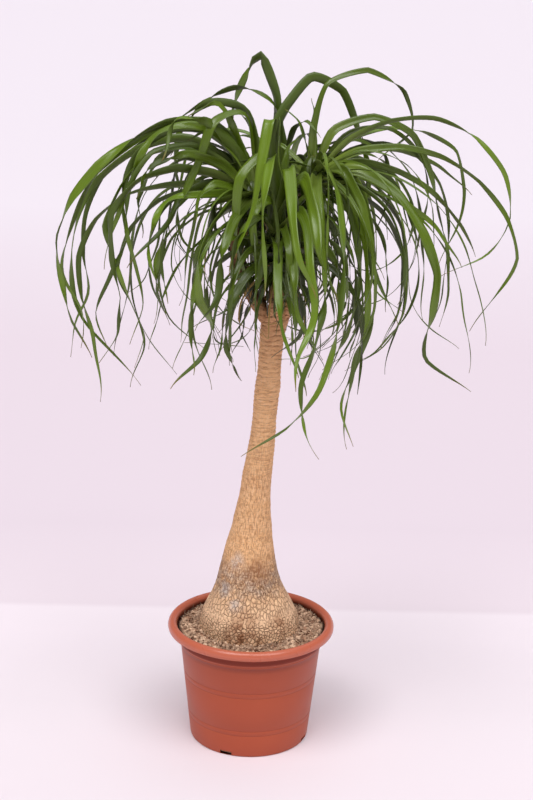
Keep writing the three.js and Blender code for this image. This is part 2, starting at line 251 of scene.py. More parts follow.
GLOW_COLOUR = (0.98, 0.93, 0.99, 1)
HORIZON_GLOW = 0.94
UPPER_GLOW = 0.17
UPPER_FROM = 0.28  # sine of the angle above the horizon
world = bpy.data.worlds.new("studio_room")
world.use_nodes = True
room = world.node_tree
around = add_node(room, "ShaderNodeTexCoord", output="Generated")
rise = add_node(room, "ShaderNodeSeparateXYZ", inputs={"Vector": around}, output=2)
strength = HORIZON_GLOW - rise.ramp(0, UPPER_FROM) * (HORIZON_GLOW - UPPER_GLOW)
glow = room.nodes["Background"]
connect(room, glow.inputs["Color"], GLOW_COLOUR)
connect(room, glow.inputs["Strength"], strength)
bpy.context.scene.world = world


def lamp(name, azimuth, elevation, strength, spread):
    """A broad, even light from one side: degrees round from the front, and above the floor."""
    data = bpy.data.lights.new(name, "SUN")
    data.energy = strength
    data.angle = math.radians(spread)
    made = bpy.data.objects.new(name, data)
    turn, rise = math.radians(azimuth), math.radians(elevation)
    level = math.cos(rise)
    towards = Vector((math.sin(turn) * level, -math.cos(turn) * level, math.sin(rise)))
    made.rotation_mode = "QUATERNION"
    made.rotation_quaternion = towards.to_track_quat("Z", "Y")
    bpy.context.collection.objects.link(made)


lamp("key_light", -34, 60, 1.65, 34)
lamp("fill_light", 36, 58, 1.35, 36)
lamp("top_light", 160, 70, 0.55, 60)
print("floor and three broad lamps")

# %% [markdown]
# ## Helpers for shaping
# Most of this plant is made of sheets wrapped round something: bark round the stem, a blade along
# its route. So one helper adds a flat grid and hands back its points, which a formula then moves.
# A round piece such as the pot is turned instead: its outline is drawn point by point with extrude
# and spun about the axis.


# %% Shaping helpers
def clear_selection():
    if bpy.context.object and bpy.context.object.mode != "OBJECT":
        bpy.ops.object.mode_set(mode="OBJECT")
    bpy.ops.object.select_all(action="DESELECT")


def edit_all(*steps):
    """Runs mesh operators on the whole active object."""
    bpy.ops.object.mode_set(mode="EDIT")
    bpy.ops.mesh.select_all(action="SELECT")
    for step in steps:
        step()
    bpy.ops.object.mode_set(mode="OBJECT")


def weld():
    bpy.ops.mesh.remove_doubles(threshold=0.00001)


def face_outwards():
    bpy.ops.mesh.normals_make_consistent(inside=False)


def points_of(piece):
    flat = np.empty(len(piece.data.vertices) * 3)
    piece.data.vertices.foreach_get("co", flat)
    return flat.reshape(-1, 3)


def move_points(piece, places):
    piece.data.vertices.foreach_set("co", np.asarray(places, float).ravel())
    piece.data.update()


def keep_value(piece, name, values):
    """Stores one number a point, which the piece's finish reads back by name."""
    layers = piece.data.attributes
    layer = layers.get(name) or layers.new(name, "FLOAT", "POINT")
    values = np.broadcast_to(values, len(piece.data.vertices)).astype(float)
    layer.data.foreach_set("value", values)


def copy_of(master):
    copy = master.copy()
    copy.data = master.data.copy()
    bpy.context.collection.objects.link(copy)
    return copy


def finish_piece(piece, name, node, finish, smooth=None):
    """Names a piece, gives it its finish and hands it to the frame."""
    clear_selection()
    bpy.context.view_layer.objects.active = piece
    piece.select_set(True)
    piece.name = name
    piece.data.name = name
    piece.data.materials.clear()
    piece.data.materials.append(finish.material)
    if smooth is None:
        bpy.ops.object.shade_smooth()
    else:
        bpy.ops.object.shade_smooth_by_angle(angle=math.radians(smooth))
    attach(piece, "root")
    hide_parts(node)
    triangles = sum(len(face.vertices) - 2 for face in piece.data.polygons)
    print(f"{name}: {triangles} triangles")


def join_pieces(pieces):
    clear_selection()
    for piece in pieces:
        piece.select_set(True)
    bpy.context.view_layer.objects.active = pieces[0]
    bpy.ops.object.join()
    return bpy.context.object


def lathe(outline, steps):
    """Turns an outline of (radius, height) in millimetres about the z axis."""
    clear_selection()
    bpy.ops.mesh.primitive_plane_add(size=0.001)
    piece = bpy.context.object
    bpy.ops.object.mode_set(mode="EDIT")
    bpy.ops.mesh.merge(type="CENTER")
    here = Vector((outline[0][0], 0, outline[0][1])) * MM
    bpy.ops.transform.translate(value=here)
    for radius, height in outline[1:]:
        there = Vector((radius, 0, height)) * MM
        bpy.ops.mesh.extrude_region_move(TRANSFORM_OT_translate={"value": there - here})
        here = there
    bpy.ops.mesh.select_all(action="SELECT")
    bpy.ops.mesh.spin(steps=steps, angle=2 * math.pi, center=(0, 0, 0), axis=(0, 0, 1))
    bpy.ops.object.mode_set(mode="OBJECT")
    edit_all(weld, face_outwards)
    return piece


def tube(columns, rows, place):
    """A grid rolled into a closed tube: place gives a point for shares round and along it."""
    clear_selection()
    bpy.ops.mesh.primitive_grid_add(x_subdivisions=columns, y_subdivisions=rows, size=1)
    piece = bpy.context.object
    around, along, _ = (points_of(piece) + 0.5).T
    move_points(piece, place(around, along))
    edit_all(weld, lambda: bpy.ops.mesh.select_all(action="DESELECT"), close_ends, face_outwards)
    return piece


def close_ends():
    bpy.ops.mesh.select_non_manifold()
    bpy.ops.mesh.edge_face_add()
    bpy.ops.mesh.select_all(action="SELECT")


def smoothstep(low, high, value):
    share = np.clip((value - low) / (high - low), 0, 1)
    return share * share * (3 - 2 * share)


# %% [markdown]
# ## The pot
# A nursery container is blown or injection-moulded in one piece: a thin tapering wall, two fine
# raised bands, a ledge on which the next pot in a stack rests, and a rim curled over and down, open
# underneath. It could be carved from a cylinder, but its whole form lies in its outline, so the
# outline is drawn once, outside up, round the curl and down the inside, and then spun.

# %% Pot outline
# Radii, heights and thicknesses in millimetres.
BASE_RADIUS = 114.6
SHOULDER = (135, 190)
NECK_RADIUS = 142.5
RIM_CENTRE = (151.3, 224.2)
RIM_HALF = (8.7, 10.3)
WALL = 3
FLOOR = 4
GROOVES = (46, 56, 128, 138)
GROOVE_DEPTH = 0.4
POT_STEPS = 144


def wall_radius(height):
    return BASE_RADIUS + (SHOULDER[0] - BASE_RADIUS) * height / SHOULDER[1]


def groove(height):
    """A fine groove round the wall."""
    bottom = wall_radius(height) - GROOVE_DEPTH
    return [
        (wall_radius(height - 1), height - 1), (bottom, height - 0.3),
        (bottom, height + 0.3), (wall_radius(height + 1), height + 1),
    ]


def curl(start, end, steps, inset):
    """Points round the curled rim, in degrees above its centre's level."""
    (x, z), wide, tall = RIM_CENTRE, RIM_HALF[0] - inset, RIM_HALF[1] - inset
    turns = np.radians(np.linspace(start, end, steps))
    return [(x + wide * math.cos(turn), z + tall * math.sin(turn)) for turn in turns]


pot_outline = [
    (0, 0), (BASE_RADIUS - 4, 0), (BASE_RADIUS - 1.6, 0.5), (BASE_RADIUS - 0.3, 1.8),
    (wall_radius(4), 4), *[point for height in GROOVES for point in groove(height)],
    (wall_radius(184), 184), (SHOULDER[0], 190), (137.6, 192.6), (138.5, 194), (138.5, 196.6),
    (139.4, 197.6), (141, 199.6), (NECK_RADIUS - 0.5, 206), (NECK_RADIUS, 216),
    *curl(180, -22, 18, WALL)[1:], *curl(-32, 180, 30, 0),
    (141.6, 213.9), (132, 190), (wall_radius(FLOOR) - WALL, FLOOR + 1), (108, FLOOR), (0, FLOOR),
]
pot = lathe(pot_outline, POT_STEPS)
print("pot outline of", len(pot_outline), "points")

# %% [markdown]
# Water leaves through four notches where the wall meets the base. At each place a rounded block is
# cut away by a Boolean modifier, which is then applied.

# %% Drain notches
NOTCHES = 4
FIRST_NOTCH = math.radians(-112)
NOTCH = (0.034, 0.024, 0.0085)
NOTCH_BEVEL = 0.0025
for hole in range(NOTCHES):
    clear_selection()
    bpy.ops.mesh.primitive_cube_add(size=1)
    cutter = bpy.context.object
    bpy.ops.transform.resize(value=NOTCH)
    bpy.ops.object.transform_apply(location=True, rotation=True, scale=True)
    edit_all(lambda: bpy.ops.mesh.bevel(offset=NOTCH_BEVEL, segments=4))
    turn = FIRST_NOTCH + hole * 2 * math.pi / NOTCHES
    reach = Matrix.Translation(((BASE_RADIUS - 8) * MM, 0, NOTCH[2] / 2 + 0.0005))
    cutter.data.transform(Matrix.Rotation(turn, 4, "Z") @ reach)
    clear_selection()
    bpy.context.view_layer.objects.active = pot
    cut = pot.modifiers.new("notch", "BOOLEAN")
    cut.object = cutter
    cut.operation = "DIFFERENCE"
    bpy.ops.object.modifier_apply(modifier=cut.name)
    bpy.data.objects.remove(cutter)
print("drain notches cut:", NOTCHES)

# %% [markdown]
# The plastic is a matt terracotta brown with a soft shine. Real pots are never one even colour: the
# dye clouds a little. Painted shade darkens the wall under the curl, below the ledge and in the
# grooves. The curl itself is smoother, and is painted paler, a painted sheen. Inside, where it dips
# to the soil, the curl is painted dark, a painted shade, and so are the drain notches.

# %% Pot finish
# Heights in metres, from where each zone of the wall starts to fade to where it is gone or full.
NECK_FOOT, NECK_TOP = (0.1985, 0.2015), (0.213, 0.209)
LEDGE_SHADE_FOOT, LEDGE_SHADE_TOP = (0.18, 0.1915), (0.1942, 0.193)
CURL_FOOT, WELL_TOP, NOTCH_TOP = (0.213, 0.217), (0.23, 0.222), (0.0105, 0.0095)
# distance in metres from each groove's middle where its painted shade line begins and is full
GROOVE_LINE = (0.0011, 0.0004)
# Radii in metres, inside the first and outside the second.
WELL_EDGE, WALL_INSIDE = (0.1436, 0.147), (0.1105, 0.1125)

plastic = Finish("pot_plastic")
height = plastic.part(plastic.place(), 2)
cloud = plastic.noise(plastic.place(), 9)
neck_painted_shade = height.ramp(*NECK_TOP) * height.ramp(*NECK_FOOT)
ledge_shade = height.ramp(*LEDGE_SHADE_TOP) * height.ramp(*LEDGE_SHADE_FOOT)
lines = [(height - line * MM).absolute().ramp(*GROOVE_LINE) for line in GROOVES]
shine = height.ramp(*CURL_FOOT)
well_painted_shade = plastic.near_axis(*WELL_EDGE) * shine * height.ramp(*WELL_TOP)
notch = plastic.near_axis(*WALL_INSIDE) * height.ramp(*NOTCH_TOP)
body = plastic.mix(cloud, rgb(166, 68, 36), rgb(178, 79, 46))
plastic.set("Base Color", plastic.layered(body, [
    # painted sheen: the curl is painted paler
    (shine * 0.75, (198, 108, 82)),
    # painted shade: under the curl, below the ledge and in the grooves
    (neck_painted_shade * 0.7 + ledge_shade * 0.5 + sum(lines) * 0.25, (104, 18, 4)),
    # painted shade inside the curl, darkest down by the soil
    (well_painted_shade * 0.8, (66, 24, 12)),
    # painted shade in the drain notches
    (notch, (40, 18, 12)),
]))
plastic.set("Roughness", cloud * 0.06 + 0.42 - shine * 0.18 + neck_painted_shade * 0.3)
finish_piece(pot, "pot_shell", "pot", plastic, smooth=40)

# %% [markdown]
# ## The soil
# Potting mix fills the pot to a finger's width below the rim. From a step away it is a dry, rough
# mass of bark chips and fibre, so a lumpy bed carries hundreds of loose chips. The bed is a grid
# rolled into rings about the pot's axis.

# %% Soil bed
SOIL_EDGE = 219
SOIL_CROWN = 224
SOIL_RADIUS = 141.2
SOIL_FOOT_RADIUS = 111
BULB_HOLE = 60
LUMP_SIZE, LUMP_HEIGHT = 26, 2.6
SIDE_SHARE = 0.2  # of the grid's length
# The pot's inner wall, just missed by the bed: heights and radii.
INSIDE_HEIGHTS, INSIDE_RADII = (FLOOR, SHOULDER[1], 213.9), (SOIL_FOOT_RADIUS, 131.3, 140.9)


def soil_height(x, y):
    """Height of the bed in millimetres at a place in millimetres."""
    radius = np.hypot(x, y)
    mound = SOIL_EDGE + (SOIL_CROWN - SOIL_EDGE) * (1 - smoothstep(BULB_HOLE, SOIL_RADIUS, radius))
    spots = [(a / LUMP_SIZE, b / LUMP_SIZE, 3.1) for a, b in zip(x.ravel(), y.ravel())]
    lumps = [noise.fractal(spot, 0.8, 2.1, 5) for spot in spots]
    return mound + LUMP_HEIGHT * np.array(lumps).reshape(x.shape)


def bed_places(around, along):
    """The side of the bed first, then its top, in to the bulb."""
    turn = 2 * np.pi * around
    side = along < SIDE_SHARE
    share = np.clip((along - SIDE_SHARE) / (1 - SIDE_SHARE), 0, 1)
    radius = SOIL_RADIUS - (SOIL_RADIUS - BULB_HOLE) * share
    deep = FLOOR + 0.4 + (SOIL_EDGE - FLOOR) * along / SIDE_SHARE
    radius = np.where(side, np.interp(deep, INSIDE_HEIGHTS, INSIDE_RADII), radius)
    x, y = radius * np.cos(turn), radius * np.sin(turn)
    return np.stack([x, y, np.where(side, deep, soil_height(x, y))], 1) * MM


soil = tube(150, 66, bed_places)
print("soil bed:", len(soil.data.vertices), "points")

# %% [markdown]
# The mix is dry on top: greyish brown, with darker hollows and pale fibres. Round its edge, against
# the pot's wall, a dark ring is painted shade, and the chips there are painted dark too.

# %% Soil finish
GAP_SHADE = (0.1335, 0.1395)  # radii in metres
mix = Finish("potting_mix", 0.25, 0.95)
crumbs = mix.noise(mix.place(), 210, 4, 0.7)
patches = mix.noise(mix.place(), 26, 3)
earth = mix.mix(crumbs.ramp(0.34, 0.66), rgb(98, 64, 46), rgb(200, 154, 126))
earth = mix.mix(patches * 0.5, earth, rgb(156, 122, 98))
# painted shade: a dark ring round the edge, against the pot's wall
mix.set("Base Color", mix.mix(mix.near_axis(*GAP_SHADE), rgb(40, 24, 16), earth))
mix.bump(crumbs, 0.0025)
finish_piece(soil, "soil_bed", "soil", mix)

# %% [markdown]
# Three chips are modelled once each: a blocky bark chip, a flat flake and a bent fibre. Each is
# copied many times, turned and sized at random, and let into the bed. The random numbers are
# seeded, so the bed is the same each time.


# %% Chips and fibres
RING_INNER, RING_OUTER = 78, 139
CHIP_TILT = 0.5
# A chip's size, how far its corners stray, its seed, then how many, their sizes and their tones.
CHIPS = (
    ((1.5, 1, 0.7), 0.07, 1, 1000, (1.6, 5.2), (0, 1)),
    ((1.6, 1.2, 0.25), 0.09, 2, 900, (2, 5.5), (0.1, 1)),
)
FIBRES = (520, (0.4, 1.3), (0.4, 1))


def chip_master(size, jitter, seed):
    """A small block with its corners pushed about."""
    clear_selection()
    bpy.ops.mesh.primitive_cube_add(size=1)
    piece = bpy.context.object
    edit_all(lambda: bpy.ops.mesh.subdivide(number_cuts=1))
    spots = points_of(piece)
    draw = np.random.default_rng(seed)
    rounded = spots / np.linalg.norm(spots, axis=1, keepdims=True) * 0.62
    move_points(piece, (spots * 0.55 + rounded * 0.45 + draw.normal(0, jitter, spots.shape)) * size)
    return piece


def fibre_master():
    clear_selection()
    bpy.ops.mesh.primitive_cylinder_add(vertices=4, radius=0.4, depth=1, end_fill_type="TRIFAN")
    piece = bpy.context.object
    edit_all(lambda: bpy.ops.mesh.subdivide(number_cuts=2))
    spots = points_of(piece)
    spots[:, 0] += 6 * spots[:, 2] ** 2
    move_points(piece, spots * (1, 1, 16))
    return piece


def scatter(master, count, sizes, tones):
    """Copies of one chip over the ring of soil that shows."""
    shape = points_of(master)
    copies = []
    for _ in range(count):
        radius = math.sqrt(draw.uniform(RING_INNER ** 2, RING_OUTER ** 2))
        turn = draw.uniform(0, 2 * math.pi)
        x, y = radius * math.cos(turn), radius * math.sin(turn)
        scale = draw.uniform(*sizes)
        tilt = Matrix.Rotation(draw.normal(0, CHIP_TILT), 3, "X")
        tilt = tilt @ Matrix.Rotation(draw.normal(0, CHIP_TILT), 3, "Y")
        spin = np.array(tilt @ Matrix.Rotation(draw.uniform(0, 2 * math.pi), 3, "Z"))
        copy = copy_of(master)
        height = float(soil_height(np.array([x]), np.array([y]))[0]) + 0.25 * scale
        move_points(copy, (shape @ spin.T * scale + (x, y, height)) * MM)
        keep_value(copy, "tone", draw.uniform(*tones))
        copies.append(copy)
    bpy.data.objects.remove(master)
    return copies


draw = np.random.default_rng(31)
chips = []
for size, jitter, seed, *rest in CHIPS:
    chips += scatter(chip_master(size, jitter, seed), *rest)
fibres = scatter(fibre_master(), *FIBRES)

bark_chip = Finish("bark_chip", 0.25, 0.93)
grain = bark_chip.noise(bark_chip.place(), 420, 3, 0.65)
lightness = (bark_chip.attribute("tone") * 0.7 + grain * 0.5).ramp(0.25, 1.05)
chip = bark_chip.mix(lightness, rgb(92, 60, 42), rgb(236, 200, 170))
# painted shade: chips by the pot's wall are darkened too
bark_chip.set("Base Color", bark_chip.mix(bark_chip.near_axis(*GAP_SHADE), rgb(48, 28, 18), chip))
bark_chip.bump(grain, 0.0006)
finish_piece(join_pieces(chips), "bark_chips", "soil", bark_chip, smooth=35)
finish_piece(join_pieces(fibres), "soil_fibres", "soil", bark_chip)

# %% [markdown]
# ## The trunk
# A ponytail palm stores water in a swollen foot. On the real plant the foot and the stem are one
# skin of cork: cracked into small plates where the bulb has swelled, drawn into upright ones on the
# shoulder, and marked with ring scars where old leaves dropped from the stem. A grid is rolled into
# a tube along the trunk's profile, and each point is pushed in or out by the bark's relief. The
# cracks are kept as a value on the points, so that the finish can darken them.

# %% Trunk profile
# Height, centre x and radius, in millimetres.
TRUNK = np.array([
    (128, -2, 26), (136, -2, 52), (150, -3, 72), (170, -3, 86), (195, -3, 95), (222, -3, 97),
    (245, -3, 94), (262, -4, 87), (276, -4, 80), (288, -5, 73), (309, -6, 64), (330, -7, 57),
    (370, -7, 48), (410, -4, 40), (450, -1, 34), (490, 3, 29.5), (530, 6, 27.5), (570, 11, 25.5),
    (610, 15, 24), (650, 18, 22.5), (707, 22, 22), (764, 25, 21.5), (805, 29, 23),
    (830, 32, 25), (846, 34, 22),
])
TRUNK_COLUMNS = 176
# Rows of the grid: few in the soil, and closest where the ring scars are fine.
TRUNK_HEIGHTS = np.concatenate([
    np.linspace(128, 212, 9), np.arange(214, 340, 1.5), np.arange(340, 560, 2.2),
    np.arange(560, 846, 1.35), [846],
])
RING_PITCH = 8.8
RING_WIDTH = 0.28  # of half a pitch
SCAR_DEPTH, SWELL, LUMPS, CRUMBS = 0.95, 0.35, 1.6, 0.5
BLUR = np.hanning(21)
BLUR = BLUR[1:-1] / BLUR.sum()


def smooth_profile(heights, column):
    """The profile between its listed heights, rounded off."""
    fine = np.arange(TRUNK[0, 0], TRUNK[-1, 0] + 1)
    straight = np.interp(fine, TRUNK[:, 0], TRUNK[:, column])
    padded = np.pad(straight, len(BLUR) // 2, mode="reflect", reflect_type="odd")
    return np.interp(heights, fine, np.convolve(padded, BLUR, "valid"))


def bark_noise(x, y, z, size, tall):
    return noise.noise((x / size, y / size, z / tall))


def bark_relief(x, y, z):
    """(push outwards in mm, scar from 0 to 1) at a place on the trunk, in mm."""
    stem = float(smoothstep(430, 600, z))
    wave = z / RING_PITCH + 0.55 * bark_noise(x, y, z, 26, 30) + 0.2 * bark_noise(x, y, z, 7, 9)
    ring = abs((wave % 1) - 0.5) * 2
    breaks = noise.noise((x / 11, y / 11, math.floor(wave) * 3.7))
    whole = 0.35 + 0.65 * float(smoothstep(-0.15, 0.25, breaks))
    scar = max(0.0, (ring - (1 - RING_WIDTH)) / RING_WIDTH) * whole * stem
    lump = noise.fractal((x / 34, y / 34, z / 55), 0.9, 2, 3)
    crumb = bark_noise(x, y, z, 5, 6) * (1 - stem)
    swell = math.cos(2 * math.pi * wave) * stem
    return LUMPS * lump + CRUMBS * crumb - SCAR_DEPTH * scar - SWELL * swell, scar


def trunk_places(around, along):
    heights = np.interp(along, np.linspace(0, 1, len(TRUNK_HEIGHTS)), TRUNK_HEIGHTS)
    turn = 2 * np.pi * around
    centre, radius = smooth_profile(heights, 1), smooth_profile(heights, 2)
    uneven = 0.012 * np.sin(2 * turn + 0.02 * heights)
    radius = radius * (1 + uneven + 0.008 * np.sin(5 * turn - 0.03 * heights))
    x, y = radius * np.cos(turn), radius * np.sin(turn)
    relief = np.array([bark_relief(*spot)[0] for spot in zip(x, y, heights)])
    grow = 1 + relief / radius
    return np.stack([centre + x * grow, y * grow, heights], 1) * MM


trunk = tube(TRUNK_COLUMNS, len(TRUNK_HEIGHTS) - 1, trunk_places)
spots = points_of(trunk) / MM
centres = smooth_profile(spots[:, 2], 1)
cracks = [bark_relief(x - c, y, z)[1] for (x, y, z), c in zip(spots, centres)]
keep_value(trunk, "crack", np.array(cracks))
print("trunk grid:", TRUNK_COLUMNS, "by", len(TRUNK_HEIGHTS) - 1)

# %% [markdown]
# Limbs and leaves both run along a route given by a few knots. The curve through the knots must not
# overshoot where they stand close together, so its pace follows the root of each gap. Its points
# are then spaced evenly along its length.


# %% Smooth curves
def smooth_curve(knots, count):
    """count points, evenly spaced along a smooth curve through the knots, and its length."""
    knots = np.asarray(knots, float)
    ends = (2 * knots[0] - knots[1], 2 * knots[-1] - knots[-2])
    spread = np.vstack([ends[0], knots, ends[1]])
    pieces = []
    for k in range(len(knots) - 1):
        p0, p1, p2, p3 = spread[k:k + 4]
        d0, d1, d2 = (
            max(1e-4, math.sqrt(np.linalg.norm(b - a))) for a, b in ((p0, p1), (p1, p2), (p2, p3))
        )
        start = ((p1 - p0) / d0 - (p2 - p0) / (d0 + d1) + (p2 - p1) / d1) * d1
        stop = ((p2 - p1) / d1 - (p3 - p1) / (d1 + d2) + (p3 - p2) / d2) * d1
        t = np.linspace(0, 1, 17)[:-1, None]
        bend = -3 * p1 + 3 * p2 - 2 * start - stop
        pieces.append(p1 + start * t + bend * t ** 2 + (2 * p1 - 2 * p2 + start + stop) * t ** 3)
    fine = np.vstack([*pieces, knots[-1:]])
    travel = np.concatenate([[0], np.cumsum(np.linalg.norm(np.diff(fine, axis=0), axis=1))])
    even = np.linspace(0, travel[-1], count)
    return np.stack([np.interp(even, travel, fine[:, axis]) for axis in range(3)], 1), travel[-1]


# %% [markdown]
# Above the fork the trunk runs out into short limbs, one for each head of leaves, and a cut stub.
# They are tubes on a smooth curve, knobbed where leaves have dropped, and joined to the trunk.

# %% Limbs
LIMBS = {
    "left": ((17, 15, 13, 9), ((26, 0, 815), (-20, 4, 890), (-40, 8, 960), (-18, 10, 1035))),
    "front": ((17, 14, 12, 9), ((33, -4, 815), (33, -28, 870), (34, -46, 925), (33, -50, 968))),
    "right": ((18, 15, 13, 9), ((36, 0, 815), (66, 4, 900), (88, 8, 990), (94, 10, 1075))),
    "rear": ((17, 15, 13, 9), ((34, 4, 815), (40, 38, 890), (45, 62, 980), (45, 70, 1055))),
    "stub": ((13, 12, 11), ((38, -2, 825), (54, -8, 850), (66, -12, 866))),
}
LIMB_ROWS = 64
LIMB_COLUMNS = 36
KNOB_PITCH = 9


def limb(radii, knots):
    centres, _ = smooth_curve(knots, LIMB_ROWS + 1)

    def places(around, along):
        row = np.rint(along * LIMB_ROWS).astype(int)
        turn = 2 * np.pi * around
        radius = np.interp(along, np.linspace(0, 1, len(radii)), radii)
        x, y, z = centres[row].T
        wave = z / KNOB_PITCH + 0.3 * np.sin(3 * turn + z / 15)
        radius = radius + 0.7 * np.cos(2 * np.pi * wave) + 0.5 * np.sin(5 * turn + z / 9)
        return np.stack([x + radius * np.cos(turn), y + radius * np.sin(turn), z], 1) * MM

    def crack(x, y, z):
        wave = z / KNOB_PITCH + 0.6 * bark_noise(x, y, z, 9, 14)
        return max(0.0, abs((wave % 1) - 0.5) * 2 - 0.6) / 0.4

    piece = tube(LIMB_COLUMNS, LIMB_ROWS, places)
    keep_value(piece, "crack", np.array([crack(*spot) for spot in points_of(piece) / MM]))
    return piece


trunk = join_pieces([trunk, *(limb(radii, knots) for radii, knots in LIMBS.values())])
print("limbs joined to the trunk:", len(LIMBS))

# %% [markdown]
# The cork is tan, warmer on the stem and paler on the bulb. Dark lines follow the cracks. A band of
# the shoulder has weathered to grey, and brown stains run down the front of the bulb. Height picks
# out these zones, and noise breaks up their edges.

# %% Bark finish
GREY_PATCHES = ((-0.031, -0.042, 0.37), (-0.052, -0.046, 0.314), (-0.03, -0.066, 0.292))
STAINS = (
    (-0.03, -0.09, 0.232), (0.006, -0.096, 0.228), (-0.012, -0.08, 0.262), (0.052, -0.066, 0.25),
    (0.012, -0.05, 0.352),
)

# Heights in metres, from where each zone starts to fade in to where it is full.
UPRIGHT_FROM, ON_BULB, PALE_BULB = (0.255, 0.272), (0.39, 0.3), (0.34, 0.27)
BAND_FOOT, BAND_TOP = (0.302, 0.32), (0.37, 0.348)
SHOULDER_FOOT, STEM_FOOT = (0.275, 0.36), (0.5, 0.7)
TOP_FOOT, LIMB_FOOT = (0.68, 0.82), (0.84, 0.875)
BULB_PLATES, UPRIGHT_PLATES = 148, 146  # to a metre
UPRIGHT_STRETCH = 0.48

cork = Finish("cork_bark", 0.3)
place = cork.place()
height = cork.part(place, 2)
mottle = cork.noise(place, 55, 5, 0.65)
flecks = cork.noise(cork.stretched((1, 1, 0.45), place), 330, 3, 0.6)
wrinkles = cork.noise(cork.stretched((0.22, 0.22, 1.6), place), 300, 4, 0.65)
fissures = cork.noise(cork.stretched((1.5, 1.5, 0.22), place), 360, 4, 0.65)
blotch = cork.noise(cork.stretched((1, 1, 0.6), place), 17, 3)

astray = cork.warped(place, 70, 0.007)
low_edge, low_tone = cork.cells(astray, BULB_PLATES)
tall = cork.stretched((1, 1, UPRIGHT_STRETCH), astray)
high_edge, high_tone = cork.cells(tall, UPRIGHT_PLATES)
upper = height.ramp(*UPRIGHT_FROM)
plate_edge = low_edge * (1 - upper) + high_edge * upper
plate_tone = low_tone * (1 - upper) + high_tone * upper

on_bulb = height.ramp(*ON_BULB)
stem = height.ramp(*STEM_FOOT)
shoulder = height.ramp(*SHOULDER_FOOT) * (1 - stem)
top = height.ramp(*TOP_FOOT)
wavy = height + blotch * 0.07 - 0.035
band = wavy.ramp(*BAND_FOOT) * wavy.ramp(*BAND_TOP)
crack = plate_edge.ramp(0.085 - upper * 0.015, 0.02) * on_bulb * (1 - upper * 0.25)
line = cork.attribute("crack").ramp(0.1, 0.75) * (top * 0.35 + 0.4) + crack * 0.8


def dabs(spots, inner, outer, edge):
    """A few soft spots, broken up by the mottle."""
    return sum(cork.near(place, spot, inner, outer) for spot in spots) * mottle.ramp(0.36, edge)


skin = cork.mix(mottle, rgb(216, 158, 102), rgb(252, 206, 156))
cork.set("Base Color", cork.layered(skin, [
    (flecks.ramp(0.45, 0.75) * 0.5, (234, 202, 166)),
    (on_bulb * plate_tone.ramp(0.25, 0.75) * 0.55, (184, 130, 88)),
    (height.ramp(*PALE_BULB) * 0.65, (248, 210, 174)),
    # the grey band: weathered, wrinkled and fissured
    (band * mottle.ramp(0.35, 0.6) * 0.65, (204, 186, 170)),
    (band * wrinkles.ramp(0.48, 0.58) * 0.4, (104, 74, 54)),
    (band * fissures.ramp(0.49, 0.57) * 0.7, (88, 66, 52)),
    (dabs(GREY_PATCHES, 0.004, 0.022, 0.58) * 0.75, (204, 196, 190)),
    (dabs(STAINS, 0.006, 0.034, 0.54) * 0.75, (138, 80, 42)),
    # the shoulder: dark and pale streaks up it, wrinkles across
    (shoulder * fissures.ramp(0.48, 0.6) * 0.7, (156, 106, 68)),
    (shoulder * fissures.ramp(0.44, 0.34) * 0.4, (246, 216, 178)),
    (shoulder * wrinkles.ramp(0.5, 0.6) * 0.35, (150, 104, 68)),
    # the stem: fine wrinkles, warmer at the top, dark on the limbs
    (stem * wrinkles.ramp(0.46, 0.62) * 0.5, (156, 104, 66)),
    (stem * wrinkles.ramp(0.44, 0.34) * 0.3, (240, 202, 160)),
    (top * mottle.ramp(0.3, 0.7) * 0.7, (164, 106, 66)),
    (height.ramp(*LIMB_FOOT) * 0.85, (92, 68, 46)),
    (line, (98, 58, 30)),
]))
cork.set("Roughness", mottle * 0.12 + 0.78)
relief = flecks * 0.35 + wrinkles * (0.35 + stem * 0.4) + plate_edge.ramp(0.0, 0.16) * on_bulb
cork.bump(relief, 0.0018)
finish_piece(trunk, "trunk_bark", "trunk", cork)

# %% [markdown]
# ## One leaf
# Each leaf is a long strap with a shallow channel, widest just above its root and drawn out to a
# thread, which sweeps off to one side. It could be extruded along a curve one by one, but there are
# hundreds of them. So one blade is modelled flat: a grid five points wide, given its thickness by a
# Solidify modifier. Its copies are then laid along their routes by moving their points.

# %% Blade masters
BLADE_THICK = 0.7
BLADE_PITCH = 76  # longest straight stretch of a creased blade
# Rows of the grid, the length in millimetres below which it is used, and how late it tapers.
BLADE_GRIDS = ((8, 70, 2.2), (22, 260, 2.2), (34, 480, 3.2), (52, math.inf, 3.2))


def blade_master(rows):
    """A flat strap one unit long and wide, with an upper and a lower face."""
    clear_selection()
    bpy.ops.mesh.primitive_grid_add(x_subdivisions=4, y_subdivisions=rows, size=1, calc_uvs=True)
    piece = bpy.context.object
    shell = piece.modifiers.new("thickness", "SOLIDIFY")
    shell.thickness = 1
    shell.offset = -1
    bpy.ops.object.modifier_apply(modifier=shell.name)
    spots = points_of(piece) + (0, 0.5, 0)
    move_points(piece, spots)
    keep_value(piece, "under", spots[:, 2] < -0.5)
    bpy.context.collection.objects.unlink(piece)
    return piece, spots


MASTERS = {rows: blade_master(rows) for rows, _, _ in BLADE_GRIDS}
print("blade masters with rows:", list(MASTERS))

# %% [markdown]
# A real blade is never one even arc. It creases where it has been knocked, rolls as it hangs, and
# its thin tip is swept aside. Each copy gets its own share of these from seeded random numbers.


# %% Laying a blade on its route
CREASE = 0.55
NARROW = 12  # blades narrower than this crease less
TIP_SWEEP = 34  # of a blade SWEEP_LENGTH long
SWEEP_LENGTH = 500
THREAD_WIDTH = 0.8


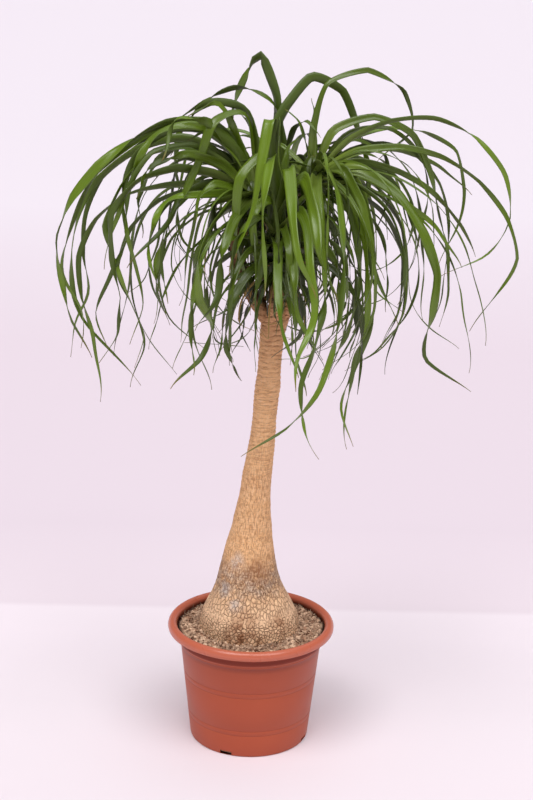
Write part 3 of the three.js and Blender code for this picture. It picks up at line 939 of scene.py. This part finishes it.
def middle_line(knots, length, width, share, draw):
    """Points down a blade's middle: smooth, a little creased at its knots, its tip swept aside."""
    rows = len(share)
    knots, _ = smooth_curve(knots, max(4, round(length / BLADE_PITCH)) + 1)
    smooth, _ = smooth_curve(knots, rows)
    sharp = np.linspace(0, len(knots) - 1, rows)
    bent = np.stack([np.interp(sharp, range(len(knots)), line) for line in knots.T], 1)
    crease = draw.uniform(0, CREASE) * min(1, width / NARROW)
    bearing = 97 * crease + width  # as good as random, without a draw
    sweep = np.array([math.cos(bearing), math.sin(bearing), 0.4 * math.sin(2 * bearing)])
    sweep = sweep * TIP_SWEEP * min(1, length / SWEEP_LENGTH)
    drift = (smoothstep(0.72, 1, share) ** 1.5)[:, None]
    return smooth * (1 - crease) + bent * crease + sweep * drift


def blade_frame(centres, azimuth, twist, wander, share, draw):
    """At each point of the middle line, the directions across the blade and up from it."""
    along = np.gradient(centres, axis=0)
    along /= np.linalg.norm(along, axis=1, keepdims=True)
    across = np.array([-math.sin(azimuth), math.cos(azimuth), 0.0])
    side = across - along * (along @ across)[:, None]
    side /= np.linalg.norm(side, axis=1, keepdims=True)
    up = np.cross(along, side)
    swing = np.sin(2 * np.pi * (draw.uniform(1.6, 3.0) * share + draw.uniform()))
    turn = math.radians(twist) * smoothstep(-0.1, 0.22, share)
    turn = turn + math.radians(wander) * swing * smoothstep(0.12, 0.7, share)
    turn = turn + math.radians(draw.normal(0, 1.7 * wander)) * share ** 1.6
    cos, sin = np.cos(turn)[:, None], np.sin(turn)[:, None]
    return side * cos + up * sin, up * cos - side * sin


def blade(knots, azimuth, width, twist, draw, tones=(0, 1), wander=70):
    """A copy of the master blade along a smooth curve through the knots, in millimetres."""
    _, length = smooth_curve(knots, 3)
    rows, _, taper = next(grid for grid in BLADE_GRIDS if length < grid[1])
    share = np.linspace(0, 1, rows + 1)
    centres = middle_line(knots, length, width, share, draw)
    side, up = blade_frame(centres, azimuth, twist, wander, share, draw)
    clasp = 1 + 0.6 * (1 - smoothstep(0, 0.32, share))
    ripple = 1 + 0.05 * np.sin(9 * share + 6 * draw.uniform())
    wide = np.maximum(width * clasp * (1 - share ** taper) ** 0.9 * ripple, THREAD_WIDTH)
    fold = 0.1 + 0.22 * (1 - smoothstep(0, 0.4, share))
    master, shape = MASTERS[rows]
    row = np.rint(shape[:, 1] * rows).astype(int)
    u = shape[:, 0]
    lift = np.abs(u) * 2 * wide[row] * fold[row] + (shape[:, 2] + 0.5) * BLADE_THICK
    places = centres[row] + side[row] * (u * wide[row])[:, None] + up[row] * lift[:, None]
    piece = copy_of(master)
    move_points(piece, places * MM)
    keep_value(piece, "tone", draw.uniform(*tones))
    return piece


# %% [markdown]
# ## The heads of leaves
# The leaves grow in four heads, each a spiral round the end of a limb. The long ones that give the
# crown its outline each have a route of their own, written as how far out and how high above the
# head's middle the blade passes, and sometimes how far aside. Before the route stand its bearing in
# degrees from +X, its width and its twist.

# %% Heads and long leaves
# The middle of each head, and the size of its core, in millimetres.
HEADS = {
    "left": ((-10, 10, 1050), 27), "front": ((33, -50, 985), 25),
    "right": ((95, 10, 1095), 27), "rear": ((45, 70, 1075), 27),
}
LONG_LEAVES = [
    # tops, arching over
    ("rear", 150, 20, 115, [[20, 85], [22, 145], [50, 208], [64, 219], [78, 206], [96, 165],
        [106, 130], [130, 70], [150, 16]]),
    ("rear", 20, 17, -70, [[-30, 85], [14, 146], [60, 190], [84, 182], [115, 145], [160, 40],
        [182, -60], [190, -120]]),
    ("rear", 165, 14, 75, [[20, 125], [60, 155], [90, 160], [150, 135], [215, 90]]),
    ("right", 15, 11, 75, [[0, 105], [20, 155], [70, 180], [145, 160], [190, 95], [178, 40],
        [145, 5]]),
    # left side
    ("left", 155, 16, 70, [[0, 85], [5, 130], [35, 158], [100, 158], [150, 100], [170, 25],
        [175, -40]]),
    ("left", -150, 18, -65, [[8, 80], [38, 160], [90, 125], [118, 55], [155, -15], [220, -125]]),
    ("left", -172, 20, 75, [[35, 80], [100, 133], [175, 120], [275, 55], [340, -35], [355, -115],
        [340, -190], [352, -245], [325, -290]]),
    ("left", -160, 17, -70, [[40, 80], [105, 125], [165, 122], [212, 75], [250, -40],
        [250, -115]]),
    ("left", 175, 15, 75, [[60, 62], [135, 100], [220, 70], [310, -15], [335, -135], [325, -220],
        [240, -360]]),
    ("left", -177, 12, 75, [[100, 18], [195, 8], [265, -25], [318, -130], [292, -260],
        [310, -400]]),
    ("left", -165, 12, -75, [[75, 65], [160, 86], [215, 55], [272, -60], [240, -145], [202, -275],
        [225, -320]]),
    ("left", -155, 14, 70, [[105, 50], [200, 45], [270, -15], [268, -120], [252, -205],
        [315, -300]]),
    ("left", 178, 9, 75, [[115, 10], [205, -40], [248, -140], [212, -225], [178, -325],
        [190, -365]]),
    ("left", 165, 16, 75, [[50, 60], [100, 90], [170, 70], [215, 0], [240, -95]]),
    ("left", -145, 16, -65, [[65, 55], [120, 80], [180, 75], [230, 55], [265, 0]]),
    ("left", -160, 15, 70, [[70, 25], [120, 12], [160, -30], [175, -90], [165, -180]]),
    ("left", -150, 14, -65, [[65, 5], [125, 8], [185, -8], [210, -65], [205, -155]]),
    ("left", -140, 16, 60, [[80, -8], [145, -22], [200, -60], [220, -130], [190, -220]]),
    ("left", -118, 20, 40, [[50, 0], [105, -12], [175, -60], [205, -130], [140, -230],
        [225, -315]]),
    ("left", -105, 19, -30, [[50, 0], [105, -25], [175, -45], [205, -100], [225, -150],
        [275, -195]]),
    # front, falling towards the viewer
    ("front", -115, 21, 35, [[18, 120], [34, 205], [54, 212], [76, 120], [98, 75], [120, 20],
        [118, -55]]),
    ("front", -75, 15, -30, [[15, 130, -10], [36, 212, -15], [56, 208, -18], [76, 145, -25],
        [95, 65, -15]]),
    ("front", -65, 22, 30, [[25, 85], [68, 135, -15], [120, 95, -35], [162, 55, -50],
        [195, 12, -60], [230, -75, -50]]),
    ("front", -50, 24, 45, [[28, 80], [70, 122, -15], [112, 100, -28], [160, 48, -55],
        [190, -8, -70], [208, -85, -70]]),
    ("front", -60, 18, 40, [[90, 65, -5], [150, 20, -30], [185, -25, -45], [205, -110, -48],
        [212, -150, -62], [216, -192, -105], [216, -220, -75]]),
    ("front", -90, 16, 15, [[50, 12], [120, -25], [165, -70], [186, -110, 5], [202, -190, 25]]),
    ("front", -135, 18, -55, [[20, 60], [40, 92], [62, 40], [55, -20], [20, -80]]),
    ("front", -72, 16, 25, [[60, 16], [130, -25, -14], [178, -85, -25], [196, -120, -20],
        [208, -165, 10]]),
    ("front", -150, 20, -65, [[10, 90], [35, 155], [75, 115], [85, 45], [80, -35], [82, -110]]),
    ("front", -110, 20, 25, [[20, 95], [62, 158, 5], [122, 98, 20], [165, 38, 30], [185, -10, 40],
        [202, -80, 36]]),
    # right side and front right
    ("right", -45, 16, 55, [[30, 22], [80, 5], [125, -60], [148, -140], [185, -235]]),
    ("right", -65, 16, -40, [[55, 25, -20], [130, -12, -25], [200, -80, -45], [250, -190, -70],
        [275, -292, -105], [292, -365, -155], [300, -412, -235]]),
    ("right", -30, 15, 65, [[35, 12], [65, -35], [90, -105], [98, -185], [88, -260], [50, -370]]),
    ("right", -30, 14, -60, [[60, 8], [98, -38], [122, -120], [128, -250], [108, -315], [68, -440],
        [95, -485]]),
    ("right", -35, 13, 65, [[50, -10], [95, -60], [118, -150], [122, -260], [97, -350], [95, -400],
        [130, -490]]),
    ("right", -75, 14, 25, [[45, 0, -10], [90, -35, -20], [165, -110, -30], [220, -230, -45],
        [245, -325, -85], [250, -362, -88], [270, -458, -25]]),
    ("right", 10, 12, 75, [[45, 85], [125, 95], [192, 55], [230, -60], [262, -190], [235, -305]]),
    ("right", -10, 10, -75, [[25, 25], [85, 72], [195, 105], [315, 45], [352, -50], [312, -155],
        [260, -185]]),
    ("right", 25, 9, 70, [[30, 35], [90, 62], [175, 75], [298, 30], [320, -65], [300, -205]]),
    ("right", -15, 11, 75, [[45, 25], [140, 52], [262, 25], [350, -65], [370, -125], [315, -275]]),
    ("right", 20, 10, -70, [[70, 32], [170, 35], [278, -15], [305, -60]]),
    ("right", -25, 19, 70, [[35, 10], [85, 8], [152, -20], [232, -130], [245, -200], [215, -315],
        [280, -355]]),
    ("right", 0, 12, 75, [[60, 5], [145, -38], [232, -105], [255, -175]]),
    ("right", 10, 14, -75, [[55, 22], [105, 15], [165, -45], [195, -130]]),
    ("right", -5, 12, 75, [[55, 20], [172, -2], [260, -78], [285, -155]]),
]
# young leaves, still standing in the middle of the heads
YOUNG_LEAVES = [
    ("right", 100, 13, 20, [[4, 60], [8, 132]]),
    ("right", 165, 12, 50, [[18, 55], [34, 92], [60, 104]]),
    ("left", 160, 18, 65, [[25, 50], [62, 98], [98, 128], [140, 120], [175, 70]]),
    ("left", -165, 20, -70, [[18, 60], [45, 105], [75, 122], [120, 100]]),
    ("left", -150, 20, 70, [[25, 55], [60, 105], [100, 140], [135, 148], [172, 128], [200, 80]]),
    ("left", -160, 18, -75, [[15, 50], [42, 124], [62, 160], [92, 165], [128, 140]]),
    ("left", -170, 20, 70, [[35, 30], [85, 62], [125, 66], [165, 35]]),
    ("left", 120, 16, 60, [[8, 75], [20, 120], [45, 150]]),
    ("left", -140, 18, -60, [[40, 12], [85, 28], [120, 12], [145, -30]]),
    ("front", 60, 19, 15, [[8, 70], [20, 130], [40, 170], [75, 170]]),
    ("rear", -60, 15, 30, [[10, 60], [30, 95], [70, 110], [110, 80]]),
]
# narrow leaves, close beside the long ones on the left
NARROW_LEAVES = [
    ("left", -174, 12, -70, [[40, 78], [110, 128], [190, 108], [285, 30], [330, -70], [346, -150],
        [326, -230], [345, -290]]),
    ("left", 170, 11, 70, [[45, 75], [115, 115], [200, 90], [290, 10], [322, -90], [308, -180],
        [340, -260], [352, -330]]),
    ("left", -165, 13, 75, [[30, 75], [90, 120], [150, 118], [205, 85], [240, 20], [232, -60],
        [262, -140], [290, -210], [268, -280]]),
    ("left", -158, 10, 70, [[60, 60], [130, 96], [200, 78], [238, 10], [236, -80], [205, -170],
        [228, -260]]),
]
ROOT_DEPTH = 0.5  # of the core's size
# tones of the long outer leaves; leaves deeper in the crown get darker ranges, as painted shade
LONG_TONES = (0.35, 1)
CALM, LOOSE = 30, 85  # how far a blade's roll wanders, in degrees


def long_route(head, degrees, points):
    """A long leaf's route in millimetres, from inside its head's core."""
    centre, core = HEADS[head]
    turn = math.radians(degrees)
    lean = min(1, abs(points[0][0]) / max(abs(points[0][1]), 1))
    cos, sin = math.cos(turn), math.sin(turn)
    knots = []
    for reach, height, *rest in [(core * ROOT_DEPTH * lean, 0), *points]:
        aside = rest[0] if rest else 0
        out = (reach * cos - aside * sin, reach * sin + aside * cos, height)
        knots.append(np.add(centre, out))
    return knots


def add_long_leaf(leaf, wander):
    head, degrees, width, twist, points = leaf
    route = long_route(head, degrees, points)
    piece = blade(route, math.radians(degrees), width, twist, draw, LONG_TONES, wander)
    crown[head].append(piece)


crown = {head: [] for head in HEADS}
draw = np.random.default_rng(77)
for leaf in LONG_LEAVES + YOUNG_LEAVES:
    add_long_leaf(leaf, CALM if leaf[0] == "front" or len(leaf[-1]) < 5 else LOOSE)
print("long leaves:", len(LONG_LEAVES), "and young leaves:", len(YOUNG_LEAVES))

# %% [markdown]
# The rest of each head follows the rule by which the plant grows. Each new leaf stands a golden
# angle on from the last. Young leaves shoot up steeply, and as they age they lower, lengthen and
# hang, and their roots end up further down. The same draw of random numbers as in the frame puts
# the main ones where its solids have them. Then finer leaves fill in between: narrow ones that bend
# evenly into hooks, and short ones deep in each head.

# %% Leaves by rule
GOLDEN_ANGLE = 137.508
HANG = -84
BEND_END = 0.6  # share of its length over which a blade bends down
CURL_GAIN = 1.5
SWIRL = 80
ROUTE_STEPS = 7
# head, count, first azimuth, spread of azimuths, lengths, drop of the roots, steepest launch
FILL = [
    ("left", 9, 50, 100, (430, 600), 0, 82), ("rear", 12, 10, 160, (420, 600), 0, 82),
    ("right", 9, 20, 100, (430, 620), 0, 82), ("left", 9, 0, 360, (280, 420), 0, 82),
    ("front", 12, 0, 360, (200, 300), 0, 82), ("right", 9, 0, 360, (280, 420), 0, 82),
    ("rear", 8, 0, 360, (280, 420), 0, 82), ("front", 7, -175, 170, (260, 340), 0, 82),
    ("front", 15, 0, 360, (110, 180), 62, 30),
]
CURLY = [
    ("left", 11, 110, 170, (240, 390), 0, 50), ("right", 21, -75, 150, (280, 520), 0, 50),
    ("rear", 6, 0, 190, (240, 370), 0, 60), ("front", 6, 150, 80, (150, 280), 45, 30),
    ("front", 6, -60, 100, (140, 260), 45, 30),
]
INNER = [
    ("left", 14, 0, 360, (80, 160), 0, 84), ("front", 14, 0, 360, (80, 150), 0, 84),
    ("right", 12, 0, 360, (90, 180), 0, 84), ("rear", 12, 0, 360, (100, 180), 0, 84),
    ("front", 11, 0, 360, (40, 80), 66, 30),
]


def lerp(low, high, share):
    return low + (high - low) * share


def random_source(seed):
    """A draw of even random numbers between two limits, the same in every run."""
    state = [seed]

    def pick(low, high):
        state[0] = (state[0] * 1664525 + 1013904223) % 4294967296
        return low + (high - low) * state[0] / 4294967296

    return pick


def hanging_route(start, turn, launch, total, drift, swirl, curl, even):
    """A route that sets off at a launch angle and bends over, either early on or evenly."""
    knots = [start]
    for step in range(ROUTE_STEPS):
        middle = (step + 0.5) / ROUTE_STEPS
        end = float(smoothstep(BEND_END, 1, middle))
        droop = (HANG - launch) * min(1, middle / BEND_END) - curl * end
        if even:
            droop = (HANG - launch - curl) * middle
        slope = math.radians(launch + droop)
        heading = turn + drift * middle + swirl * end
        level = math.cos(slope)
        stride = (level * math.cos(heading), level * math.sin(heading), math.sin(slope))
        knots.append(knots[-1] + np.multiply(stride, total / ROUTE_STEPS))
    return knots


def fill_head(spec, pick, widths, curls, tones, wander=70, even=False):
    """One set of leaves round a head, by the golden angle."""
    head, count, first, spread, lengths, drop, steepest = spec
    centre, core = HEADS[head]
    leaves = []
    for leaf in range(count):
        age = (leaf + 0.5) / count
        degrees = first + ((leaf * GOLDEN_ANGLE + pick(-12, 12) + 360) % 360) * (spread / 360)
        turn = math.radians(degrees)
        launch = steepest - 80 * age + pick(-8, 8)
        total = lerp(*lengths, math.sin(math.pi * age)) * pick(0.92, 1.08)
        drift = math.radians(pick(-35, 35))
        swirl = math.radians(draw.uniform(-SWIRL, SWIRL))
        curl = pick(*curls) * CURL_GAIN
        sunk = core * (0.4 - 2.2 * age) if not drop else -drop * (0.85 + 0.35 * age)
        inner = core * ROOT_DEPTH
        start = np.add(centre, (inner * math.cos(turn), inner * math.sin(turn), sunk))
        knots = hanging_route(start, turn, launch, total, drift, swirl, curl, even)
        width, twist = pick(*widths), pick(-75, 75)
        leaves.append(blade(knots, turn, width, twist, draw, tones, wander))
    return leaves


MAIN_SEED, FINE_SEED = 4711, 90210
pick = random_source(MAIN_SEED)
for spec in FILL:
    head, drop = spec[0], spec[5]
    slim = 0.8 if head == "front" and not drop else 0.45
    crown[head] += fill_head(spec, pick, (14 * slim, 20 * slim), (-40, 45), (0, 0.85))
pick = random_source(FINE_SEED)
for spec in CURLY:
    crown[spec[0]] += fill_head(spec, pick, (2.5, 7.5), (10, 80), (0.1, 0.7), even=not spec[5])
for spec in INNER:
    # the short inner leaves take only the darkest tones, a painted shade deep in the heads
    crown[spec[0]] += fill_head(spec, pick, (9, 17), (-30, 50), (0, 0.4), 25)
for leaf in NARROW_LEAVES:
    add_long_leaf(leaf, LOOSE)
print("leaves in all:", sum(len(leaves) for leaves in crown.values()))

# %% [markdown]
# In the middle of each head the leaf bases overlap into a tight cone. It is the only place
# where the limb's end would show, so a closed cone of bases stands there, and the leaves rise out
# of it.


# %% Cones of leaf bases
CONE = ((0, -3.6), (0.5, -3.5), (0.8, -1.6), (0.9, -0.2), (0.7, 0.5), (0.35, 1), (0, 1.15))
CONE_ROWS = 25


def leaf_cone(head):
    (x, y, z), core = HEADS[head]
    fine, _ = smooth_curve([(radius, 0, height) for radius, height in CONE], CONE_ROWS + 1)

    def places(around, along):
        row = np.rint(along * CONE_ROWS).astype(int)
        turn = 2 * np.pi * around
        ribs = 1 + 0.09 * np.sin(8 * turn + 9 * along) + 0.05 * np.sin(21 * turn)
        radius = np.maximum(fine[row, 0], 0.02) * core * ribs
        height = z + fine[row, 2] * core
        return np.stack([x + radius * np.cos(turn), y + radius * np.sin(turn), height], 1) * MM

    piece = tube(48, CONE_ROWS, places)
    # painted shade: a low tone and half the lower face's darkening keep the cone dark
    keep_value(piece, "tone", 0.3)
    keep_value(piece, "under", 0.5)
    return piece


for head in HEADS:
    crown[head].append(leaf_cone(head))
print("cones of leaf bases:", len(HEADS))

# %% [markdown]
# Below the living leaves, each limb is shaggy with the papery brown bases of leaves that have
# dropped, and a few dry leaves hang on as thin straw-coloured threads.


# %% Dry bases and threads
STUBS = 30
THREADS = [("front", 12, 0, 360, (70, 170), 66, 10), ("left", 5, 120, 180, (90, 200), 40, 20)]


def dry_bases(radii, knots):
    """Stubs of old leaves, set up a limb by the golden angle."""
    centres, _ = smooth_curve(knots, STUBS + 4)
    stubs = []
    for stub, centre in enumerate(centres[3:-1]):
        turn = math.radians(stub * GOLDEN_ANGLE)
        out = np.array([math.cos(turn), math.sin(turn), 0])
        reach = draw.uniform(9, 24)
        rise = reach * draw.uniform(0.3, 1.1)
        root = centre + out * (radii[1] - 4)
        middle = root + out * reach * 0.5 + (0, 0, rise)
        route = [root, middle, root + out * reach + (0, 0, rise * 1.2)]
        stubs.append(blade(route, turn, draw.uniform(9, 17), 0, draw, (0, 1), 20))
    return stubs


dry = [stub for radii, knots in LIMBS.values() for stub in dry_bases(radii, knots)]
for spec in THREADS:
    dry += fill_head(spec, pick, (1.2, 4), (-20, 110), (0.6, 1))
straw = Finish("dry_leaf", 0.25, 0.8)
streaks = straw.noise(straw.stretched((1, 1, 0.3)), 260, 3)
age = straw.attribute("tone") * 0.75 + streaks * 0.25
straw.set("Base Color", straw.mix(age, rgb(70, 44, 26), rgb(186, 156, 92)))
finish_piece(join_pieces(dry), "dry_bases", "foliage", straw)

# %% [markdown]
# A leaf is a deep, satiny green. Fine veins run the length of the blade, and its root is
# yellow-green. Its lower face is rougher and painted darker, a painted shade. Each leaf has a tone
# of its own, from a range that is darker for the leaves that lie deeper in the crown, and round the
# crown's heart the leaves are painted near black: both are painted shade. The veins must follow the
# blade, so they read its own map, stretched out along it, and not its place in the room.

# %% Leaf finish
CROWN_HEART = (0.04, 0.03, 0.93)  # where little light reaches, from 50 to 180 mm round it
leaf = Finish("palm_leaf", 0.48)
flat = leaf.node("ShaderNodeTexCoord", output="UV")
along = leaf.part(flat, 1)
veins = leaf.noise(leaf.stretched((38, 1.2, 1), flat), 1, 4, 0.7)
streaks = leaf.noise(leaf.stretched((7, 2.2, 1), flat), 1, 3)
tone = leaf.attribute("tone")
under = leaf.attribute("under")
green = leaf.mix(tone, rgb(26, 32, 0), rgb(110, 139, 26))
leaf.set("Base Color", leaf.layered(green, [
    (streaks.ramp(0.35, 0.7) * 0.3, (122, 144, 48)),
    # painted shade: the lower face is painted darker
    (under * 0.5, (32, 40, 2)),
    (along.ramp(0.2, 0.0) * 0.75, (150, 168, 78)),
    (along.ramp(0.93, 1.0) * tone, (150, 118, 62)),
    # painted shade: leaves round the crown's heart are painted near black
    (leaf.near(leaf.place(), CROWN_HEART, 0.05, 0.18) * 0.8, (14, 16, 1)),
    (veins.ramp(0.3, 0.7) * 0.22, (38, 58, 14)),
]))
leaf.set("Roughness", veins * 0.12 + under * 0.16 + 0.22)
leaf.bump(veins, 0.0004, 0.5)
for head, leaves in crown.items():
    finish_piece(join_pieces(leaves), f"leaves_{head}", "foliage", leaf)
for master, _ in MASTERS.values():
    bpy.data.objects.remove(master)
